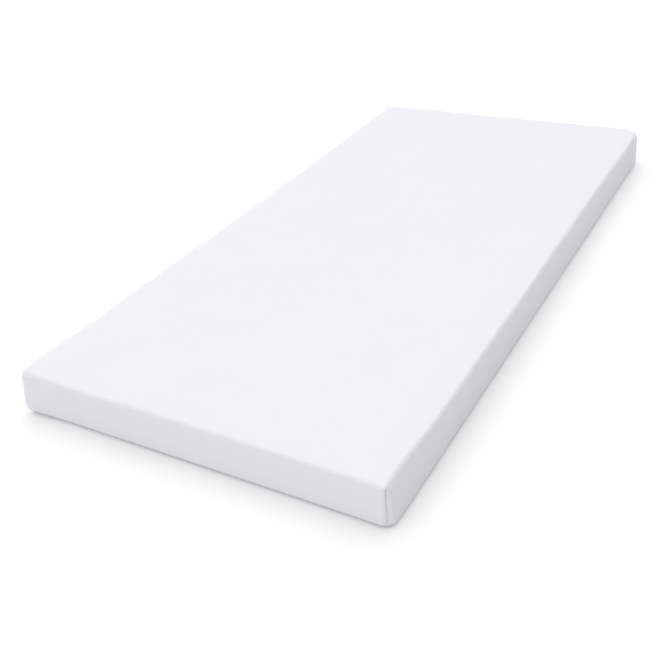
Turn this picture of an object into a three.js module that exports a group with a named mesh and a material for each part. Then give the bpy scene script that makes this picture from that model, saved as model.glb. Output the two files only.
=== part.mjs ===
// A thin crib mattress, lying flat: one filled body in a smooth, close-fitting cover.
// Millimetres, +Z up, +Y along the length. The origin is the middle of the underside.

import * as THREE from 'three';
import { mergeVertices } from 'three/addons/utils/BufferGeometryUtils.js';

// Overall size, over the corners and the crown
const WIDTH = 590;
const LENGTH = 1200;
const THICKNESS = 75;

// The four standing corners aren't alike: how round each is in plan at the foot and at the top, how
// far round it from the middle its seam lies, anticlockwise as seen from above, the reach and fall
// of its soft top edge, and how far it bellies out low down. Its tip is the share of the tight edge
// at the seam's top end.
const NEAR_RIGHT = {
  sideX: 1, sideY: -1, footRadius: 20, topRadius: 7, seamAtFoot: -6, seamAtTop: 2,
  reach: 5, fall: 5.5, belly: 0, tip: 1,
};
const NEAR_LEFT = {
  sideX: -1, sideY: -1, footRadius: 6, topRadius: 10, seamAtFoot: -10, seamAtTop: -5,
  reach: 11, fall: 9, belly: 5.5, tip: 0.3,
};
const FAR_RIGHT = {
  sideX: 1, sideY: 1, footRadius: 28, topRadius: 33, seamAtFoot: -6, seamAtTop: -10,
  reach: 15, fall: 12, belly: 0, tip: 0,
};
const FAR_LEFT = {
  sideX: -1, sideY: 1, footRadius: 16, topRadius: 18, seamAtFoot: -6, seamAtTop: 6,
  reach: 9, fall: 9, belly: 0, tip: 0.3,
};
const CORNERS = [NEAR_RIGHT, NEAR_LEFT, FAR_RIGHT, FAR_LEFT];
const FOOT_CORNER_POWER = 1.6;
const BELLY_SPREAD = 55;
const BELLY_HEIGHT = 17;

// The edge between the top and the walls: its reach over the top and its fall down the wall.
// It is tight along the sides, as each corner has it near the corners, and tightest at a tip.
const RIM = { reach: 5, fall: 4.8 };
const RIM_AT_TIP = { reach: 3, fall: 4 };
const RIM_CORNER_SPREAD = 38;
const RIM_SEAM_SPREAD = 5;

// The edge between the walls and the underside
const FOOT_EDGE = { reach: 14, fall: 8 };

// The cover's pull: between the corners the walls are drawn in, mostly at the top
const LONG_WALL_DRAW = { foot: 0, top: 1.2 };
const END_WALL_DRAW = { foot: 1, top: 1.2 };
const DRAW_POWER = 4;

// The crown: the top is level in the middle, and slopes more and more towards the rim
const CROWN = 4;
const SHOULDER = 45;

// The sewn seam down each corner is a leaning channel, with the cloth drawn in along it
const SEAM_BEND = 2.6;
const SEAM_HOLD = 12;
const SEAM_LET_GO = 60;
const SEAM_HALF_WIDTH = 7;
const SEAM_DEPTH = 2.2;
const SEAM_FOOT_HEIGHT = 10;
const SEAM_TOP_HEIGHT = 68.3;
const SEAM_FADE = 4;

// Soft swells (out) and hollows (in) of the cover, each fading to nothing at its reach
const SWELLS = [
  { x: 295, y: -600, z: 75, reach: 150, pushX: -7, pushY: 0, pushZ: 0 },
  { x: 291, y: -597, z: 72, reach: 20, pushX: 0.5, pushY: -1.2, pushZ: -0.5 },
  { x: -295, y: -600, z: 75, reach: 160, pushX: -0.8, pushY: 0, pushZ: 3 },
  { x: -295, y: 600, z: 75, reach: 400, pushX: 0, pushY: 0, pushZ: 2 },
  { x: 295, y: 600, z: 75, reach: 110, pushX: -1.8, pushY: -0.6, pushZ: 0 },
  { x: -295, y: 40, z: 75, reach: 520, pushX: 2.8, pushY: 0, pushZ: -0.6 },
  { x: 140, y: -600, z: 75, reach: 260, pushX: 0, pushY: -0.6, pushZ: -2.2 },
  { x: -200, y: -600, z: 75, reach: 110, pushX: 0, pushY: -0.3, pushZ: -1.6 },
  { x: 240, y: -600, z: 75, reach: 90, pushX: 0, pushY: 0, pushZ: -1.6 },
  { x: 295, y: -400, z: 75, reach: 240, pushX: 0.6, pushY: 0, pushZ: -1 },
  { x: 295, y: -150, z: 70, reach: 150, pushX: 1.6, pushY: 0, pushZ: 0.3 },
  { x: 295, y: 260, z: 60, reach: 220, pushX: -0.6, pushY: 0, pushZ: 0 },
  { x: 60, y: -600, z: 70, reach: 130, pushX: 0, pushY: 0.8, pushZ: -0.3 },
  { x: -110, y: -600, z: 68, reach: 120, pushX: 0, pushY: -0.8, pushZ: 0.2 },
  { x: -40, y: 600, z: 68, reach: 200, pushX: 0, pushY: -0.6, pushZ: -0.2 },
  { x: -90, y: 190, z: 75, reach: 260, pushX: 0, pushY: 0, pushZ: 0.4 },
  { x: 120, y: -260, z: 75, reach: 240, pushX: 0, pushY: 0, pushZ: -0.6 },
  { x: 110, y: 420, z: 75, reach: 210, pushX: 0, pushY: 0, pushZ: -0.4 },
];

// Grid lines of the surface: closest at the edges and the seams, wide apart between
const EDGE_BAND = { width: 45, lines: 8, power: 2 };
const MIDDLE_LINES_ACROSS = 10;
const MIDDLE_LINES_ALONG = 22;
const FOOT_BAND = { height: 8, lines: 2 };
const WALL_LINES = 5;
const TOP_BAND = { height: 20, lines: 6, power: 1.5 };

const HALF_WIDTH = WIDTH / 2;
const HALF_LENGTH = LENGTH / 2;
const LINES_ACROSS = 2 * EDGE_BAND.lines + MIDDLE_LINES_ACROSS;
const LINES_ALONG = 2 * EDGE_BAND.lines + MIDDLE_LINES_ALONG;
const LINES_UP = FOOT_BAND.lines + WALL_LINES + TOP_BAND.lines;

const coverWhite = new THREE.MeshStandardMaterial({
  color: '#f4f3f7',
  roughness: 0.92,
  metalness: 0,
});

const { clamp, lerp } = THREE.MathUtils;

// 0 at zero and below, 1 at one and above, with no kink at either
function easeIn(t) {
  const held = clamp(t, 0, 1);
  return held * held * (3 - 2 * held);
}

// A place from -1 to 1 across the grid, as millimetres from the middle
function spreadFromMiddle(place, half, middleLines) {
  const line = Math.abs(place) * (middleLines / 2 + EDGE_BAND.lines);
  const middle = half - EDGE_BAND.width;
  const linesFromEdge = middleLines / 2 + EDGE_BAND.lines - line;
  const distance = linesFromEdge >= EDGE_BAND.lines
    ? (middle * line) / (middleLines / 2)
    : half - EDGE_BAND.width * (linesFromEdge / EDGE_BAND.lines) ** EDGE_BAND.power;
  return Math.sign(place) * distance;
}

// A place from -1 to 1 up the grid, as the height over the floor
function spreadUp(place) {
  const line = ((place + 1) / 2) * LINES_UP;
  const wallHeight = THICKNESS - FOOT_BAND.height - TOP_BAND.height;
  if (line <= FOOT_BAND.lines) return (FOOT_BAND.height * line) / FOOT_BAND.lines;
  if (line <= FOOT_BAND.lines + WALL_LINES) {
    return FOOT_BAND.height + (wallHeight * (line - FOOT_BAND.lines)) / WALL_LINES;
  }
  return THICKNESS - TOP_BAND.height * ((LINES_UP - line) / TOP_BAND.lines) ** TOP_BAND.power;
}

// Two faces meet in a sharp edge, and a point lies at these depths behind them. The rectangle
// along the edge with these reaches becomes a quarter of an ellipse, which rounds the edge.
function roundOff(depthA, depthB, reachA, reachB) {
  const a = 1 - depthA / reachA;
  const b = 1 - depthB / reachB;
  if (a <= 0 || b <= 0) return [depthA, depthB];
  const shrink = Math.max(a, b) / Math.hypot(a, b);
  return [reachA * (1 - a * shrink), reachB * (1 - b * shrink)];
}

// How deep the seam's channel is, at a distance along the wall from its middle
function seamInset(fromSeam, height) {
  const fade = easeIn((height - SEAM_FOOT_HEIGHT) / SEAM_FADE + 1)
    * easeIn((SEAM_TOP_HEIGHT - height) / SEAM_FADE + 1);
  return SEAM_DEPTH * fade * Math.max(0, 1 - Math.abs(fromSeam) / SEAM_HALF_WIDTH);
}

// How much of the crown's fall there is at a depth behind a wall: all at the wall, none inside
function slopeDown(behind) {
  return (1 - clamp(behind / SHOULDER, 0, 1)) ** 2;
}

// A place on the grid's box, each of u, v and w from -1 to 1, as a point of the mattress
function coverPoint(u, v, w) {
  const x = spreadFromMiddle(u, HALF_WIDTH, MIDDLE_LINES_ACROSS);
  const y = spreadFromMiddle(v, HALF_LENGTH, MIDDLE_LINES_ALONG);
  const height = spreadUp(w);
  const sideX = x < 0 ? -1 : 1;
  const sideY = y < 0 ? -1 : 1;
  const corner = CORNERS.find((each) => each.sideX === sideX && each.sideY === sideY);
  const toLongWall = HALF_WIDTH - Math.abs(x);
  const toEndWall = HALF_LENGTH - Math.abs(y);
  const behindWall = Math.min(toLongWall, toEndWall);

  // Near each corner the grid shifts along the walls, so that its corner line is the leaning seam
  const fromSeam = (toLongWall - toEndWall) * sideX * sideY;
  const lean = lerp(corner.seamAtFoot, corner.seamAtTop, (height / THICKNESS) ** SEAM_BEND);
  const shift = lean * (1 - easeIn((Math.abs(fromSeam) - SEAM_HOLD) / SEAM_LET_GO))
    * (1 - easeIn(behindWall / SEAM_LET_GO));
  const aroundCorner = (fromSeam + shift) * sideX * sideY;
  const behindLongWall = behindWall + Math.max(aroundCorner, 0);
  const behindEndWall = behindWall + Math.max(-aroundCorner, 0);

  // Standing corners, rounded in plan
  const nearFoot = (1 - height / THICKNESS) ** FOOT_CORNER_POWER;
  const radius = lerp(corner.topRadius, corner.footRadius, nearFoot);
  const [roundedLong, roundedEnd] = roundOff(behindLongWall, behindEndWall, radius, radius);
  const outward = new THREE.Vector2(radius - behindLongWall, radius - behindEndWall);
  if (outward.x <= 0 || outward.y <= 0) {
    outward.set(behindLongWall < behindEndWall ? 1 : 0, behindLongWall < behindEndWall ? 0 : 1);
  }
  outward.normalize();

  // The rim and the foot edge, and the seam's channel on the walls
  const fromCorner = Math.max(behindLongWall, behindEndWall);
  const nearCorner = Math.exp(-((fromCorner / RIM_CORNER_SPREAD) ** 2));
  const atTip = Math.exp(-((fromSeam / RIM_SEAM_SPREAD) ** 2)) * nearCorner * corner.tip;
  const rimReach = lerp(lerp(RIM.reach, corner.reach, nearCorner), RIM_AT_TIP.reach, atTip);
  const rimFall = lerp(lerp(RIM.fall, corner.fall, nearCorner), RIM_AT_TIP.fall, atTip);
  const [rimInset, fromTop] = roundOff(behindWall, THICKNESS - height, rimReach, rimFall);
  const [footInset, fromFloor] = roundOff(behindWall, height, FOOT_EDGE.reach, FOOT_EDGE.fall);
  const upper = height > THICKNESS / 2;
  const channel = behindWall < 1e-6 ? seamInset(fromSeam, height) : 0;
  const low = easeIn(height / BELLY_HEIGHT)
    * (1 - easeIn((height - BELLY_HEIGHT) / (THICKNESS - BELLY_HEIGHT)));
  const belly = corner.belly * low * Math.exp(-((fromCorner / BELLY_SPREAD) ** 2))
    * (1 - easeIn(behindWall / BELLY_SPREAD));
  const inward = (upper ? rimInset : footInset) - behindWall + channel - belly;
  const point = new THREE.Vector3(
    sideX * (HALF_WIDTH - roundedLong - inward * outward.x),
    sideY * (HALF_LENGTH - roundedEnd - inward * outward.y),
    upper ? THICKNESS - fromTop : fromFloor,
  );

  // Walls drawn in between the corners, and the top crowned
  const share = point.z / THICKNESS;
  const longDraw = lerp(LONG_WALL_DRAW.foot, LONG_WALL_DRAW.top, share);
  const endDraw = lerp(END_WALL_DRAW.foot, END_WALL_DRAW.top, share);
  point.x *= 1 - (longDraw / HALF_WIDTH) * (1 - Math.abs(y / HALF_LENGTH) ** DRAW_POWER);
  point.y *= 1 - (endDraw / HALF_LENGTH) * (1 - Math.abs(x / HALF_WIDTH) ** DRAW_POWER);
  const level = (1 - slopeDown(behindLongWall)) * (1 - slopeDown(behindEndWall));
  point.z *= 1 - (CROWN / THICKNESS) * (1 - level);

  // Soft unevenness, least at the floor
  const still = point.clone();
  for (const swell of SWELLS) {
    const away = Math.hypot(still.x - swell.x, still.y - swell.y, still.z - swell.z) / swell.reach;
    const swelling = (away < 1 ? (1 - away * away) ** 2 : 0) * (still.z / THICKNESS) ** 2;
    point.x += swelling * swell.pushX;
    point.y += swelling * swell.pushY;
    point.z += swelling * swell.pushZ;
  }
  return point;
}

// The drawn-in walls and the swells shift the outline by a few millimetres: this brings the
// finished surface to its overall size, standing on the floor and centred over the origin.
function fitToSize(surface) {
  surface.computeBoundingBox();
  const size = surface.boundingBox.getSize(new THREE.Vector3());
  const middle = surface.boundingBox.getCenter(new THREE.Vector3());
  surface.translate(-middle.x, -middle.y, -surface.boundingBox.min.z);
  surface.scale(WIDTH / size.x, LENGTH / size.y, THICKNESS / size.z);
}

function mattress() {
  const box = new THREE.BoxGeometry(2, 2, 2, LINES_ACROSS, LINES_ALONG, LINES_UP);
  box.deleteAttribute('normal');
  box.deleteAttribute('uv');
  const surface = mergeVertices(box);
  const places = surface.getAttribute('position');
  for (let i = 0; i < places.count; i += 1) {
    const point = coverPoint(places.getX(i), places.getY(i), places.getZ(i));
    places.setXYZ(i, point.x, point.y, point.z);
  }
  fitToSize(surface);
  surface.computeVertexNormals();
  const mesh = new THREE.Mesh(surface, coverWhite);
  mesh.name = 'mattress';
  return mesh;
}

const group = new THREE.Group();
group.add(mattress());

export default group;
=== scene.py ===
import itertools
import math

import bpy
import numpy as np
from mathutils import Matrix, Vector


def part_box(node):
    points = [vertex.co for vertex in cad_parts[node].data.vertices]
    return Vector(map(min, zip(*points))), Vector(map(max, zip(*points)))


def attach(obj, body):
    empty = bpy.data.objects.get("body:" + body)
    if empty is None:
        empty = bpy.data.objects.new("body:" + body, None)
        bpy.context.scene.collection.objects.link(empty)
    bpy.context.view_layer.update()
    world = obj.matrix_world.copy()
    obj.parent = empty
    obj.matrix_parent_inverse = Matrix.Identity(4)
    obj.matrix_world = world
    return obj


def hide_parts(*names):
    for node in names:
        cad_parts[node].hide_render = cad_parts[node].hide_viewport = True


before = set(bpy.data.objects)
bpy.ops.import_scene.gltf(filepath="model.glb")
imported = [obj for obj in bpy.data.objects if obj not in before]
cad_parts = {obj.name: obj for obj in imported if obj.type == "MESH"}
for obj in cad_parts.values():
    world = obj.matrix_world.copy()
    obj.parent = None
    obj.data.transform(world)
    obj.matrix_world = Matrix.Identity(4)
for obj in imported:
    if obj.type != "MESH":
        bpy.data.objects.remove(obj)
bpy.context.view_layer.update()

MM = 0.001

# What counts as nothing, as a length or a share

TINY = 1e-12

# The mattress's own size, from the frame

low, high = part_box("mattress")
HALF_WIDTH = (high.x - low.x) / 2
HALF_LENGTH = (high.y - low.y) / 2
THICKNESS = high.z - low.z

# The four standing corners aren't alike. In millimetres: how round each is in plan at the foot and
# at the top, how far round it from the middle its seam lies, anticlockwise as seen from above, the
# reach and fall of its soft top edge, and how far it bellies out low down. Its tip is the share of
# the tight edge at the seam's top end.

NEAR_RIGHT = {
    "side": (1, -1), "foot": 20, "top": 7, "seam_at_foot": -6, "seam_at_top": 2,
    "reach": 5, "fall": 5.5, "belly": 0, "tip": 1,
}
NEAR_LEFT = {
    "side": (-1, -1), "foot": 6, "top": 10, "seam_at_foot": -10, "seam_at_top": -5,
    "reach": 11, "fall": 9, "belly": 5.5, "tip": 0.3,
}
FAR_RIGHT = {
    "side": (1, 1), "foot": 28, "top": 33, "seam_at_foot": -6, "seam_at_top": -10,
    "reach": 15, "fall": 12, "belly": 0, "tip": 0,
}
FAR_LEFT = {
    "side": (-1, 1), "foot": 16, "top": 18, "seam_at_foot": -6, "seam_at_top": 6,
    "reach": 9, "fall": 9, "belly": 0, "tip": 0.3,
}
CORNERS = [NEAR_RIGHT, NEAR_LEFT, FAR_RIGHT, FAR_LEFT]
FOOT_CORNER_POWER = 1.6
BELLY_SPREAD = 55 * MM
BELLY_HEIGHT = 17 * MM

# The edge between the top and the walls: its reach over the top and its fall down the wall.
# It is tight along the sides, as each corner has it near the corners, and tightest at a seam's top.

RIM = {"reach": 5 * MM, "fall": 4.8 * MM}
RIM_AT_TIP = {"reach": 3 * MM, "fall": 4 * MM}
RIM_CORNER_SPREAD = 38 * MM
RIM_SEAM_SPREAD = 5 * MM

# The edge between the walls and the underside

FOOT_EDGE = {"reach": 14 * MM, "fall": 8 * MM}

# The cover's pull: between the corners the walls are drawn in, most at the top

LONG_WALL_DRAW = {"foot": 0, "top": 1.2 * MM}
END_WALL_DRAW = {"foot": 1 * MM, "top": 1.2 * MM}
DRAW_POWER = 4

# The crown: the top is level in the middle, and slopes more and more towards the rim

CROWN = 4 * MM
SHOULDER = 45 * MM

# The sewn seam down each corner. The cloth rolls over into it on one side and runs flat into it
# on the other. The cloth beside it leans as it does over the hold, and lets go past that. Small
# puckers follow it, and their pitch drifts: by how much, in radians, and how fast beside their own.

SEAM_BEND = 2.6
SEAM_HOLD = 12 * MM
SEAM_LET_GO = 60 * MM
SEAM_FOOT_HEIGHT = 10 * MM
SEAM_TOP_HEIGHT = 68.3 * MM
SEAM_FADE = 4 * MM
VALLEY_DEPTH = 1.6 * MM
ROLLED_WIDTH = 5 * MM
FLAT_WIDTH = 10 * MM
CREASE_DEPTH = {"foot": 1 * MM, "top": 2 * MM}
CREASE_WIDTH = 1.2 * MM
PUCKER_DEPTH = 0.16 * MM
PUCKER_REACH = 8 * MM
PUCKER_PITCH = 7.5 * MM
PUCKER_DRIFT, PUCKER_DRIFT_RATE = 0.8, 0.37

# Soft swells (out) and hollows (in) of the cover: place, reach and push in millimetres

SWELLS = [
    {"at": (295, -600, 75), "reach": 150, "push": (-7, 0, 0)},
    {"at": (291, -597, 72), "reach": 20, "push": (0.5, -1.2, -0.5)},
    {"at": (-295, -600, 75), "reach": 160, "push": (-0.8, 0, 3)},
    {"at": (-295, 600, 75), "reach": 400, "push": (0, 0, 2)},
    {"at": (295, 600, 75), "reach": 110, "push": (-1.8, -0.6, 0)},
    {"at": (-295, 40, 75), "reach": 520, "push": (2.8, 0, -0.6)},
    {"at": (140, -600, 75), "reach": 260, "push": (0, -0.6, -2.2)},
    {"at": (-200, -600, 75), "reach": 110, "push": (0, -0.3, -1.6)},
    {"at": (240, -600, 75), "reach": 90, "push": (0, 0, -1.6)},
    {"at": (295, -400, 75), "reach": 240, "push": (0.6, 0, -1)},
    {"at": (295, -150, 70), "reach": 150, "push": (1.6, 0, 0.3)},
    {"at": (295, 260, 60), "reach": 220, "push": (-0.6, 0, 0)},
    {"at": (60, -600, 70), "reach": 130, "push": (0, 0.8, -0.3)},
    {"at": (-110, -600, 68), "reach": 120, "push": (0, -0.8, 0.2)},
    {"at": (-40, 600, 68), "reach": 200, "push": (0, -0.6, -0.2)},
    {"at": (-90, 190, 75), "reach": 260, "push": (0, 0, 0.4)},
    {"at": (120, -260, 75), "reach": 240, "push": (0, 0, -0.6)},
    {"at": (110, 420, 75), "reach": 210, "push": (0, 0, -0.4)},
]

# Faint waves of the cloth over the filling, from a fixed seed

WAVES = {"seed": 11, "count": 14, "lengths": (55 * MM, 150 * MM), "height": 0.09 * MM}

# How the cover settles over its filling: a short cloth run on a coarse copy of it, pressed from
# inside. Its movement is scaled so that no point of the copy moves further than the most.

SETTLE_STEP = 12.5 * MM
SETTLE_FRAMES = 20
SETTLE_PRESSURE = 4
SETTLE_STIFFNESS = 40
SETTLE_BENDING = 0.3
SETTLE_HELD = 6 * MM
SETTLE_MOST = 1.5 * MM

# Lines of the cover's grid: finest at the corner seams, widest in the middle

FIRST_STEP = 0.35 * MM
STEP_GROWTH = 1.13
MIDDLE_STEP = 9 * MM
FOOT_BAND = {"height": 8 * MM, "step": 0.8 * MM}
TOP_BAND = {"height": 24 * MM, "step": 1 * MM}
WALL_STEP = 2.5 * MM

# The camera: where it stands round the mattress, and what it looks at. Its angles are in degrees,
# its distance and target in metres, and its lens and sensor in millimetres.

CAMERA_AZIMUTH = 32.1
CAMERA_ELEVATION = 31.67
CAMERA_ROLL = -5.6
CAMERA_DISTANCE = 1.4194
CAMERA_TARGET = (0.008, -0.223, 0)
CAMERA_LENS = 48.98
CAMERA_SENSOR = 36
CAMERA_SHIFT = (-0.0125, 0.0007)

# The cover's knit and colour. Slubs are thicker threads, and drifts are broad and soft. The seam tone is
# painted shade beside each seam. A tone or a roughness says how far each changes the cover's own.

COVER_WHITE = (0.772, 0.765, 0.803)
RIB_WIDTH, RIB_LENGTH, RIB_DEPTH = 1.7 * MM, 7 * MM, 0.014 * MM
LOOP_WIDTH, LOOP_HEIGHT, LOOP_DEPTH = 1.2 * MM, 1 * MM, 0.008 * MM
SLUB_WIDTH, SLUB_LENGTH, SLUB_DEPTH = 5 * MM, 26 * MM, 0.04 * MM
DRIFT_SIZE = 120 * MM
DRIFT_TONE, SLUB_TONE, RIB_TONE, SEAM_PAINTED_SHADE = 0.006, 0.004, 0.005, 0.05
SHADE_WIDTH_ROLLED, SHADE_WIDTH_FLAT = 3 * MM, 6 * MM
COVER_ROUGHNESS, SLUB_ROUGHNESS, DRIFT_ROUGHNESS = 0.9, 0.03, 0.02
COVER_SPECULAR, COVER_SHEEN, COVER_SHEEN_ROUGHNESS = 0.25, 0.12, 0.5

# The floor: how far it reaches each way, how far under the mattress it lies, and its finish

FLOOR_REACH = 30
FLOOR_DROP = 0.2 * MM
FLOOR_WHITE = (0.93, 0.93, 0.93)
FLOOR_PATCH = 0.4
FLOOR_ROUGHNESS, PATCH_ROUGHNESS, FLOOR_SPECULAR = 0.95, 0.01, 0.1

# The unfolded cover, for its weave: the underside lies beside the top and its walls

FOLD_GAP = 10 * MM
FOLD_MARGIN = 10 * MM

# Light: broad soft lamps from above, the front, the left and the back, the strongest from above.
# Each comes from a direction, over a spread in degrees.

LAMPS = {
    "overhead": {"from": (0, 0, 1), "spread": 120, "strength": 2.29},
    "front": {"from": (0, -1, 0.36), "spread": 60, "strength": 0.79},
    "left": {"from": (-1, 0, 1), "spread": 90, "strength": 0.56},
    "back": {"from": (0, 1, 1), "spread": 90, "strength": 0.97},
}


def make_camera():
    """The photograph's view: turned round the mattress, tipped down and rolled a little."""
    azimuth = math.radians(CAMERA_AZIMUTH)
    elevation = math.radians(CAMERA_ELEVATION)
    roll = math.radians(CAMERA_ROLL)
    back = Vector((
        math.sin(azimuth) * math.cos(elevation),
        -math.cos(azimuth) * math.cos(elevation),
        math.sin(elevation),
    ))
    right = Vector((math.cos(azimuth), math.sin(azimuth), 0))
    up = back.cross(right)
    rolled_right = math.cos(roll) * right + math.sin(roll) * up
    rolled_up = back.cross(rolled_right)
    lens = bpy.data.cameras.new("camera")
    lens.lens = CAMERA_LENS
    lens.sensor_width = CAMERA_SENSOR
    lens.shift_x, lens.shift_y = CAMERA_SHIFT
    camera = bpy.data.objects.new("camera", lens)
    camera.matrix_world = Matrix.LocRotScale(
        Vector(CAMERA_TARGET) + back * CAMERA_DISTANCE,
        Matrix((rolled_right, rolled_up, back)).transposed(),
        None,
    )
    bpy.context.scene.collection.objects.link(camera)
    bpy.context.scene.camera = camera


def make_light():
    """Broad soft lamps, and a plain white background that only the camera sees."""
    for name, lamp in LAMPS.items():
        light = bpy.data.lights.new(name, "SUN")
        light.energy = lamp["strength"]
        light.angle = math.radians(lamp["spread"])
        place = bpy.data.objects.new(name, light)
        place.rotation_mode = "QUATERNION"
        place.rotation_quaternion = Vector(lamp["from"]).to_track_quat("Z", "Y")
        bpy.context.scene.collection.objects.link(place)
    world = bpy.data.worlds.new("studio")
    world.use_nodes = True
    nodes, links = world.node_tree.nodes, world.node_tree.links
    background = nodes["Background"]
    background.inputs["Color"].default_value = (1, 1, 1, 1)
    links.new(nodes.new("ShaderNodeLightPath").outputs["Is Camera Ray"], background.inputs["Strength"])
    bpy.context.scene.world = world
    bpy.context.scene.view_settings.view_transform = "Standard"


def ease(t):
    """0 at zero and below, 1 at one and above, with no kink at either."""
    held = np.clip(t, 0, 1)
    return held * held * (3 - 2 * held)


def lerp(start, end, share):
    """The value that lies a share of the way from the start to the end."""
    return start + (end - start) * share


def lines_across(half):
    """All the grid lines from one wall to the other."""
    lines, place, step = [], 0, FIRST_STEP
    while step < MIDDLE_STEP:
        lines.append(place)
        place += step
        step *= STEP_GROWTH
    near_end = np.array(lines)
    count = math.ceil(2 * (half - place) / MIDDLE_STEP) + 1
    middle = np.linspace(place - half, half - place, count)
    return np.concatenate([near_end - half, middle, (half - near_end)[::-1]])


def lines_up():
    """All the grid lines from the floor to the top."""
    foot = np.arange(0, FOOT_BAND["height"], FOOT_BAND["step"])
    top = THICKNESS - np.arange(0, TOP_BAND["height"], TOP_BAND["step"])[::-1]
    count = math.ceil((top[0] - FOOT_BAND["height"]) / WALL_STEP) + 1
    wall = np.linspace(FOOT_BAND["height"], top[0], count)
    return np.concatenate([foot, wall[:-1], top])


def box_lattice(counts):
    """The surface of a lattice: its points as line numbers, its faces, and the wall of each face."""
    quads, walls = [], []
    for axis in range(3):
        first, second = [a for a in range(3) if a != axis]
        for end in (0, 1):
            a, b = np.meshgrid(np.arange(counts[first] - 1), np.arange(counts[second] - 1), indexing="ij")
            quad = np.zeros((a.size, 4, 3), int)
            for corner, (step_a, step_b) in enumerate(((0, 0), (1, 0), (1, 1), (0, 1))):
                quad[:, corner, first] = a.ravel() + step_a
                quad[:, corner, second] = b.ravel() + step_b
                quad[:, corner, axis] = end * (counts[axis] - 1)
            faces_outward = (axis != 1) == (end == 1)
            quads.append(quad if faces_outward else quad[:, ::-1])
            walls.append(np.tile((axis, end), (a.size, 1)))
    lines, numbers = np.unique(np.concatenate(quads).reshape(-1, 3), axis=0, return_inverse=True)
    return lines, numbers.reshape(-1, 4), np.concatenate(walls)


def places_on(grids, lines):
    """The places that line numbers stand for: one array for each axis."""
    return [grid[lines[:, axis]] for axis, grid in enumerate(grids)]


def round_off(depth_a, depth_b, reach_a, reach_b):
    """Rounds the edge where two faces meet: a rectangle along it becomes a quarter of an ellipse."""
    a = np.maximum(1 - depth_a / reach_a, 0)
    b = np.maximum(1 - depth_b / reach_b, 0)
    near = (a > 0) & (b > 0)
    shrink = np.where(near, np.maximum(a, b) / np.maximum(np.hypot(a, b), TINY), 1)
    return (
        np.where(near, reach_a * (1 - a * shrink), depth_a),
        np.where(near, reach_b * (1 - b * shrink), depth_b),
    )


def nearest_corner(side_x, side_y):
    """What each point's nearest corner is like: the table of corners, with an array for each entry."""
    nearest = {what: np.zeros(len(side_x)) for what in CORNERS[0] if what != "side"}
    for corner in CORNERS:
        here = (side_x == corner["side"][0]) & (side_y == corner["side"][1])
        for what, values in nearest.items():
            values[here] = corner[what]
    return nearest


def from_corner_line(x, y):
    """How far round its corner each place of the plain box is, anticlockwise as seen from above."""
    turn = np.where(x < 0, -1, 1) * np.where(y < 0, -1, 1)
    return ((HALF_WIDTH - np.abs(x)) - (HALF_LENGTH - np.abs(y))) * turn


def seam_fade(height):
    """1 along the seam, and 0 above and below it."""
    above_foot = ease((height - SEAM_FOOT_HEIGHT) / SEAM_FADE + 1)
    below_top = ease((SEAM_TOP_HEIGHT - height) / SEAM_FADE + 1)
    return above_foot * below_top


def seam_relief(from_seam, height):
    """How far in the cover is drawn at its corner seam."""
    width = np.where(from_seam < 0, ROLLED_WIDTH, FLAT_WIDTH)
    valley = VALLEY_DEPTH * np.exp(-((from_seam / width) ** 2))
    depth = lerp(CREASE_DEPTH["foot"], CREASE_DEPTH["top"], height / THICKNESS)
    crease = depth * np.clip(1 - np.abs(from_seam) / CREASE_WIDTH, 0, 1)
    phase = 2 * math.pi * height / PUCKER_PITCH
    in_and_out = np.sin(phase + PUCKER_DRIFT * np.sin(PUCKER_DRIFT_RATE * phase))
    puckers = PUCKER_DEPTH * in_and_out * np.exp(-np.abs(from_seam) / PUCKER_REACH)
    return seam_fade(height) * (valley + crease + puckers)


def waves(points):
    """Faint waves of the cloth, as a height at each point."""
    chance = np.random.default_rng(WAVES["seed"])
    height = np.zeros(len(points))
    for _ in range(WAVES["count"]):
        direction = chance.normal(size=3)
        direction /= np.linalg.norm(direction)
        turns = points @ direction / chance.uniform(*WAVES["lengths"]) + chance.uniform()
        height += WAVES["height"] * np.sin(2 * math.pi * turns)
    return height


def slope_down(behind):
    """The share of the crown's fall at a depth behind a wall: 1 at the wall, 0 past the shoulder."""
    return (1 - np.clip(behind / SHOULDER, 0, 1)) ** 2


def seam_lean(from_seam, behind_wall, height, corner):
    """How far the grid shifts along the walls near a corner, to bring its corner line to the seam."""
    bend = (height / THICKNESS) ** SEAM_BEND
    lean = lerp(corner["seam_at_foot"], corner["seam_at_top"], bend) * MM
    held_along = 1 - ease((np.abs(from_seam) - SEAM_HOLD) / SEAM_LET_GO)
    held_inward = 1 - ease(behind_wall / SEAM_LET_GO)
    return lean * held_along * held_inward


def corner_plan(behind_long, behind_end, height, corner):
    """The standing corners in plan: both depths once they are rounded, and which way is outward."""
    near_foot = (1 - height / THICKNESS) ** FOOT_CORNER_POWER
    radius = lerp(corner["top"], corner["foot"], near_foot) * MM
    rounded_long, rounded_end = round_off(behind_long, behind_end, radius, radius)
    out_x = radius - behind_long
    out_y = radius - behind_end
    at_corner = (out_x > 0) & (out_y > 0)
    out_x = np.where(at_corner, out_x, behind_long < behind_end)
    out_y = np.where(at_corner, out_y, behind_long >= behind_end)
    length = np.hypot(out_x, out_y)
    return rounded_long, rounded_end, out_x / length, out_y / length


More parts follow.
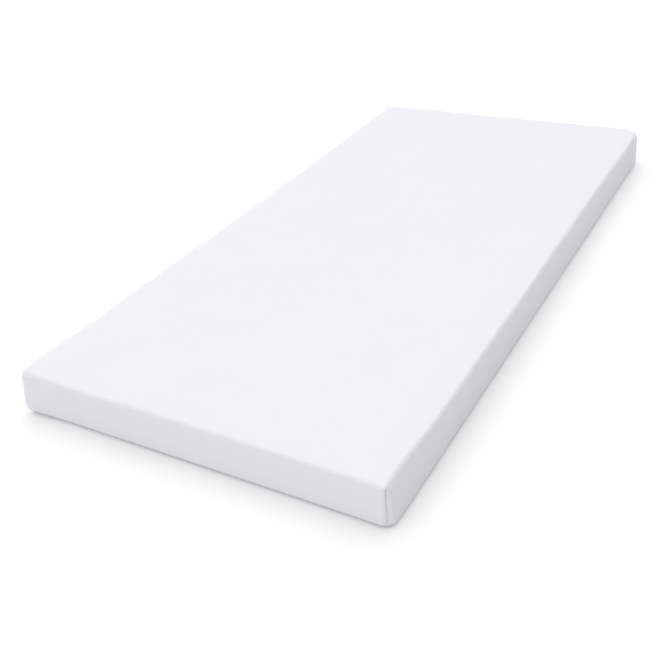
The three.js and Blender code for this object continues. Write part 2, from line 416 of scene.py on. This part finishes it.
def rim_and_foot(behind_wall, from_corner, from_seam, height, corner):
    """The soft edges at the top and the foot of the walls: the depth and height of each point."""
    near_corner = np.exp(-((from_corner / RIM_CORNER_SPREAD) ** 2))
    at_tip = np.exp(-((from_seam / RIM_SEAM_SPREAD) ** 2)) * near_corner * corner["tip"]
    rim = {}
    for way in ("reach", "fall"):
        rim[way] = lerp(lerp(RIM[way], corner[way] * MM, near_corner), RIM_AT_TIP[way], at_tip)
    rim_depth, from_top = round_off(behind_wall, THICKNESS - height, rim["reach"], rim["fall"])
    foot_depth, from_floor = round_off(behind_wall, height, FOOT_EDGE["reach"], FOOT_EDGE["fall"])
    upper = height > THICKNESS / 2
    return np.where(upper, rim_depth, foot_depth), np.where(upper, THICKNESS - from_top, from_floor)


def drawn_in(behind_wall, from_corner, from_seam, height, corner):
    """How far in the seam draws the walls, less how far they belly out beside the corner."""
    at_seam = np.where(behind_wall < TINY, seam_relief(from_seam, height), 0)
    rising = ease(height / BELLY_HEIGHT)
    falling = 1 - ease((height - BELLY_HEIGHT) / (THICKNESS - BELLY_HEIGHT))
    belly = corner["belly"] * MM * np.exp(-((from_corner / BELLY_SPREAD) ** 2))
    return at_seam - belly * (rising * falling) * (1 - ease(behind_wall / BELLY_SPREAD))


def pulled(across, along, half, draw, share):
    """Places across the cover, once a wall's pull has drawn them in between its corners."""
    most = lerp(draw["foot"], draw["top"], share)
    return across * (1 - (most / half) * (1 - np.abs(along) ** DRAW_POWER))


def swollen(points):
    """The points once the soft swells and hollows have moved them, least at the floor."""
    moved = points.copy()
    for swell in SWELLS:
        away = np.linalg.norm(points - np.array(swell["at"]) * MM, axis=1) / (swell["reach"] * MM)
        swelling = np.where(away < 1, (1 - away ** 2) ** 2, 0) * (points[:, 2] / THICKNESS) ** 2
        moved += swelling[:, None] * np.array(swell["push"]) * MM
    return moved


def cover_points(x, y, height):
    """Points of the plain box as points of the cover. All are arrays, in metres."""
    side_x = np.where(x < 0, -1, 1)
    side_y = np.where(y < 0, -1, 1)
    corner = nearest_corner(side_x, side_y)
    behind_wall = np.minimum(HALF_WIDTH - np.abs(x), HALF_LENGTH - np.abs(y))

    # The grid shifts along the walls near each corner, so that its corner line is the leaning seam
    from_seam = from_corner_line(x, y)
    shifted = from_seam + seam_lean(from_seam, behind_wall, height, corner)
    around_corner = shifted * side_x * side_y
    behind_long = behind_wall + np.maximum(around_corner, 0)
    behind_end = behind_wall + np.maximum(-around_corner, 0)
    from_corner = np.maximum(behind_long, behind_end)

    # The walls stand round the corners, with their soft edges, seams and bellies
    rounded_long, rounded_end, out_x, out_y = corner_plan(behind_long, behind_end, height, corner)
    depth, pz = rim_and_foot(behind_wall, from_corner, from_seam, height, corner)
    inward = depth - behind_wall + drawn_in(behind_wall, from_corner, from_seam, height, corner)
    px = side_x * (HALF_WIDTH - rounded_long - inward * out_x)
    py = side_y * (HALF_LENGTH - rounded_end - inward * out_y)

    # Walls drawn in between the corners, and the top crowned
    share = pz / THICKNESS
    px = pulled(px, y / HALF_LENGTH, HALF_WIDTH, LONG_WALL_DRAW, share)
    py = pulled(py, x / HALF_WIDTH, HALF_LENGTH, END_WALL_DRAW, share)
    level = (1 - slope_down(behind_long)) * (1 - slope_down(behind_end))
    pz = pz * (1 - (CROWN / THICKNESS) * (1 - level))

    # Swells and hollows, and faint waves that stand out from the walls and the top
    points = np.stack([px, py, pz], axis=1)
    rippled = waves(points) * ease(pz / THICKNESS)
    outward = np.stack([
        side_x * (1 - ease(behind_long / RIM["reach"])),
        side_y * (1 - ease(behind_end / RIM["reach"])),
        ease((pz - THICKNESS / 2) / (THICKNESS / 4)) * ease(behind_wall / RIM["reach"]),
    ], axis=1)
    return swollen(points) + rippled[:, None] * outward


def even_lines(start, end):
    """Grid lines of the coarse copy, all one step apart."""
    return np.linspace(start, end, math.ceil((end - start) / SETTLE_STEP) + 1)


def cloth_run(points, faces):
    """How far each point of the coarse copy moves as cloth under pressure, held at its foot."""
    mesh = bpy.data.meshes.new("settling")
    mesh.from_pydata(points.tolist(), [], faces.tolist())
    coarse = bpy.data.objects.new("settling", mesh)
    bpy.context.scene.collection.objects.link(coarse)
    held = coarse.vertex_groups.new(name="held")
    held.add(np.flatnonzero(points[:, 2] < SETTLE_HELD).tolist(), 1, "REPLACE")
    settings = coarse.modifiers.new("settling", "CLOTH").settings
    settings.vertex_group_mass = "held"
    settings.use_pressure = True
    settings.uniform_pressure_force = SETTLE_PRESSURE
    settings.effector_weights.gravity = 0
    settings.tension_stiffness = SETTLE_STIFFNESS
    settings.compression_stiffness = SETTLE_STIFFNESS
    settings.shear_stiffness = SETTLE_STIFFNESS
    settings.bending_stiffness = SETTLE_BENDING
    for moment in range(1, SETTLE_FRAMES + 1):
        bpy.context.scene.frame_set(moment)
    settled = coarse.evaluated_get(bpy.context.evaluated_depsgraph_get())
    places = np.empty(3 * len(points), np.float32)
    settled.data.vertices.foreach_get("co", places)
    bpy.data.objects.remove(coarse)
    bpy.context.scene.frame_set(1)
    return places.reshape(-1, 3) - points


def smooth_shares(places, lines):
    """The four grid lines round each place, and the share of each in a smooth curve through them."""
    steps = (places - lines[0]) / (lines[1] - lines[0])
    first = np.clip(np.floor(steps).astype(int), 0, len(lines) - 2)
    t = steps - first
    shares = (
        (-t + 2 * t ** 2 - t ** 3) / 2,
        (2 - 5 * t ** 2 + 3 * t ** 3) / 2,
        (t + 4 * t ** 2 - 3 * t ** 3) / 2,
        (t ** 3 - t ** 2) / 2,
    )
    around = [np.clip(first + beside, 0, len(lines) - 1) for beside in (-1, 0, 1, 2)]
    return list(zip(around, shares))


def settling(x, y, height):
    """How the cover moves at places of the plain box when it settles over its filling."""
    grids = [
        even_lines(-HALF_WIDTH, HALF_WIDTH),
        even_lines(-HALF_LENGTH, HALF_LENGTH),
        even_lines(0, THICKNESS),
    ]
    counts = [len(grid) for grid in grids]
    lines, faces, _ = box_lattice(counts)
    moves = cloth_run(cover_points(*places_on(grids, lines)), faces)
    moves *= SETTLE_MOST / np.linalg.norm(moves, axis=1).max()
    whole = np.zeros((*counts, 3))
    whole[tuple(lines.T)] = moves
    settled = np.zeros((len(x), 3))
    shares = [smooth_shares(places, grid) for places, grid in zip((x, y, height), grids)]
    for (i, share_x), (j, share_y), (k, share_z) in itertools.product(*shares):
        settled += (share_x * share_y * share_z)[:, None] * whole[i, j, k]
    return settled


def fit_to_frame(points):
    """Brings the cover to the frame's exact size and place."""
    least, most = points.min(axis=0), points.max(axis=0)
    return np.array(low) + (points - least) * (np.array(high) - np.array(low)) / (most - least)


def painted_seam_shade(x, y, height):
    """Painted shade along each seam, where the crease's shade falls: 1 at the seam, mostly on its flat
    side.
    """
    from_seam = from_corner_line(x, y)
    width = np.where(from_seam < 0, SHADE_WIDTH_ROLLED, SHADE_WIDTH_FLAT)
    return seam_fade(height) * np.exp(-((from_seam / width) ** 2))


def unfolded(x, y, height, walls):
    """Places on the unfolded cover: the top, the walls joined to it, and the underside beside them."""
    axis, side = walls[:, :1], 2 * walls[:, 1:] - 1
    down = THICKNESS - height
    across = np.where(axis == 0, side * (HALF_WIDTH + down), x)
    along = np.where(axis == 1, side * (HALF_LENGTH + down), y)
    underside = (axis == 2) & (side < 0)
    across = across + np.where(underside, 2 * HALF_WIDTH + THICKNESS + FOLD_GAP, 0)
    return np.stack([across, along], axis=-1)


def add_places(mesh, name, places):
    """Adds a map to the mesh: a place for each corner of each face."""
    layer = mesh.uv_layers.new(name=name)
    layer.uv.foreach_set("vector", places.astype(np.float32).ravel())


def make_cover():
    """The whole cover, closed: top, walls and underside on one grid."""
    grids = [lines_across(HALF_WIDTH), lines_across(HALF_LENGTH), lines_up()]
    lines, faces, walls = box_lattice([len(grid) for grid in grids])
    x, y, height = places_on(grids, lines)
    points = fit_to_frame(cover_points(x, y, height) + settling(x, y, height))
    mesh = bpy.data.meshes.new("cover")
    mesh.from_pydata(points.tolist(), [], faces.tolist())
    mesh.polygons.foreach_set("use_smooth", np.ones(len(faces), bool))
    cloth = unfolded(x[faces], y[faces], height[faces], walls)
    whole = 2 * (HALF_LENGTH + THICKNESS + FOLD_MARGIN)
    middle = np.array([HALF_WIDTH + THICKNESS, HALF_LENGTH + THICKNESS]) + FOLD_MARGIN
    add_places(mesh, "OFBake", (cloth + middle) / whole)
    add_places(mesh, "cloth", cloth)
    # Painted shade beside each seam, kept on the mesh for the cover's colour
    shade = mesh.attributes.new("painted_seam_shade", "FLOAT", "POINT")
    shade.data.foreach_set("value", painted_seam_shade(x, y, height).astype(np.float32))
    mesh.update()
    cover = bpy.data.objects.new("cover", mesh)
    bpy.context.scene.collection.objects.link(cover)
    return cover


class Value:
    """A number or vector in a material. Arithmetic on it adds the nodes that work it out."""

    def __init__(self, finish, socket):
        self.finish = finish
        self.socket = socket

    def worked(self, operation, first, second):
        return self.finish.node("ShaderNodeMath", {"operation": operation}, {0: first, 1: second})

    def __add__(self, other):
        return self.worked("ADD", self, other)

    def __sub__(self, other):
        return self.worked("SUBTRACT", self, other)

    def __rsub__(self, other):
        return self.worked("SUBTRACT", other, self)

    def __mul__(self, other):
        return self.worked("MULTIPLY", self, other)

    __radd__ = __add__
    __rmul__ = __mul__


class Finish:
    """One material: a Principled shader, and the nodes that feed it."""

    def __init__(self, name):
        self.material = bpy.data.materials.new(name)
        self.material.use_nodes = True
        self.shader = self.material.node_tree.nodes["Principled BSDF"]

    def node(self, kind, settings=None, inputs=None, output=0):
        made = self.material.node_tree.nodes.new(kind)
        for name, setting in (settings or {}).items():
            setattr(made, name, setting)
        for name, given in (inputs or {}).items():
            self.feed(made.inputs[name], given)
        return Value(self, made.outputs[output])

    def feed(self, socket, given):
        if isinstance(given, Value):
            self.material.node_tree.links.new(given.socket, socket)
        else:
            socket.default_value = given

    def set(self, **sockets):
        for name, given in sockets.items():
            self.feed(self.shader.inputs[name.replace("_", " ")], given)

    def blotches(self, places, size, octaves=2):
        """Soft noise from -1 to 1. Its size is a length, or one length for each direction."""
        lengths = size if isinstance(size, tuple) else (size, size, size)
        scale = tuple(1 / length for length in lengths)
        stretched = self.node("ShaderNodeVectorMath", {"operation": "MULTIPLY"}, {0: places, 1: scale})
        inputs = {"Vector": stretched, "Scale": 1, "Detail": octaves - 1}
        noise = self.node("ShaderNodeTexNoise", None, inputs)
        return noise * 2 - 1


def cover_finish():
    """Fine white knit: narrow ribs and loops, a few thicker threads, a matt, uneven surface, and painted
    shade beside the seams.
    """
    finish = Finish("cover_knit")
    cloth = finish.node("ShaderNodeUVMap", {"uv_map": "cloth"})
    body = finish.node("ShaderNodeTexCoord", None, None, "Object")
    ribs = finish.blotches(cloth, (RIB_WIDTH, RIB_LENGTH, 1))
    loops = finish.blotches(cloth, (LOOP_WIDTH, LOOP_HEIGHT, 1), octaves=1)
    slubs = finish.blotches(cloth, (SLUB_WIDTH, SLUB_LENGTH, 1))
    drifts = finish.blotches(body, DRIFT_SIZE, octaves=3)
    relief = ribs * RIB_DEPTH + loops * LOOP_DEPTH + slubs * SLUB_DEPTH
    bump = finish.node("ShaderNodeBump", None, {"Strength": 1, "Distance": 1, "Height": relief})
    # Painted shade: the colour is darkened beside each seam, where the crease's shade falls
    seam = finish.node("ShaderNodeAttribute", {"attribute_name": "painted_seam_shade"}, None, "Fac")
    tone = 1 + drifts * DRIFT_TONE + slubs * SLUB_TONE + ribs * RIB_TONE - seam * SEAM_PAINTED_SHADE
    grey = finish.node("ShaderNodeCombineColor", None, {"Red": tone, "Green": tone, "Blue": tone})
    colour = finish.node(
        "ShaderNodeMix",
        {"data_type": "RGBA", "blend_type": "MULTIPLY"},
        {"Factor": 1, "A": (*COVER_WHITE, 1), "B": grey},
        "Result",
    )
    roughness = COVER_ROUGHNESS + slubs * SLUB_ROUGHNESS + drifts * DRIFT_ROUGHNESS
    finish.set(Base_Color=colour, Normal=bump, Roughness=roughness)
    finish.set(Specular_IOR_Level=COVER_SPECULAR)
    finish.set(Sheen_Weight=COVER_SHEEN, Sheen_Roughness=COVER_SHEEN_ROUGHNESS)
    return finish.material


def floor_finish():
    """Plain matt white, with only a trace of unevenness."""
    finish = Finish("floor_white")
    body = finish.node("ShaderNodeTexCoord", None, None, "Object")
    roughness = FLOOR_ROUGHNESS + finish.blotches(body, FLOOR_PATCH) * PATCH_ROUGHNESS
    finish.set(Base_Color=(*FLOOR_WHITE, 1), Roughness=roughness)
    finish.set(Specular_IOR_Level=FLOOR_SPECULAR)
    return finish.material


def make_floor():
    """A broad plain floor just under the mattress. It belongs to the picture, not to the part."""
    mesh = bpy.data.meshes.new("floor")
    ways = ((-1, -1), (1, -1), (1, 1), (-1, 1))
    corners = [(x * FLOOR_REACH, y * FLOOR_REACH, -FLOOR_DROP) for x, y in ways]
    mesh.from_pydata(corners, [], [(0, 1, 2, 3)])
    floor = bpy.data.objects.new("floor", mesh)
    floor.data.materials.append(floor_finish())
    bpy.context.scene.collection.objects.link(floor)


make_camera()
make_light()
make_floor()
cover = make_cover()
cover.data.materials.append(cover_finish())
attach(cover, "root")
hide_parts("mattress")
